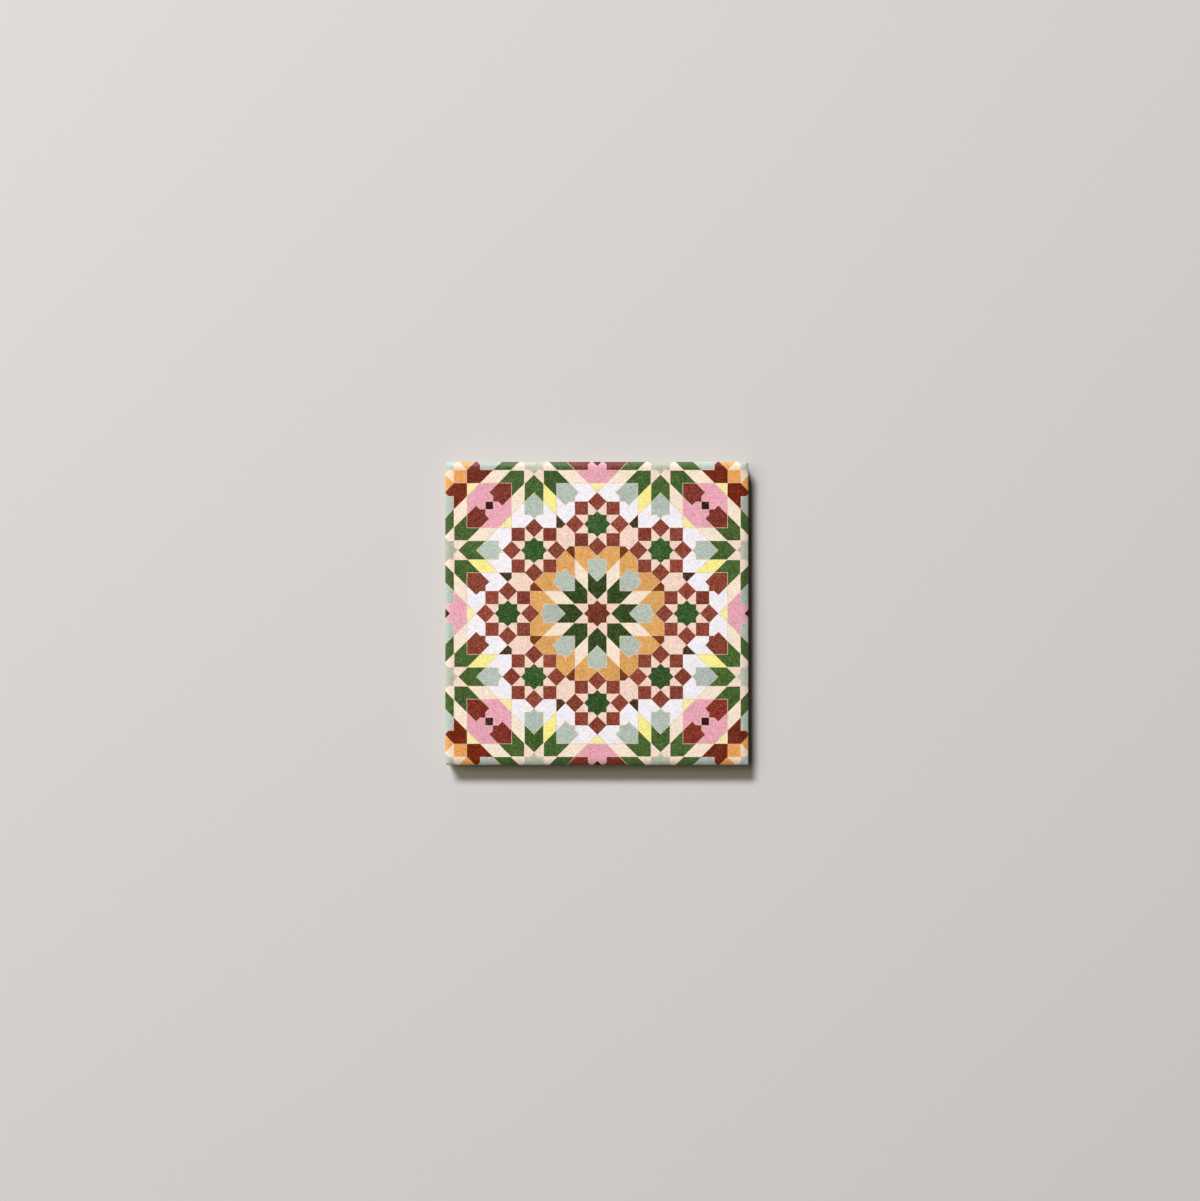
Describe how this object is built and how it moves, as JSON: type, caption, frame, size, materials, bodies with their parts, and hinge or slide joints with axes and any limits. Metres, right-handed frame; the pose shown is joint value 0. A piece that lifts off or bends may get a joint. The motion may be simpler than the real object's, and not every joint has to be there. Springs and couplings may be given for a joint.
{
  "type": "square tile",
  "caption": "Small square glazed ceramic wall tile with a printed geometric mosaic face, rounded face edges and a keyed back for bedding in adhesive.",
  "frame": {"origin": "middle of the back, on the plane of the ribs that the tile rests on", "axes": "X and Y run along the edges of the tile, and +Z points out of the decorated face"},
  "size_m": [0.0978, 0.0978, 0.0065],
  "materials": {
    "printed_glaze": "satin"
  },
  "bodies": {
    "root": {"tile": "printed_glaze"}
  },
  "joints": []
}
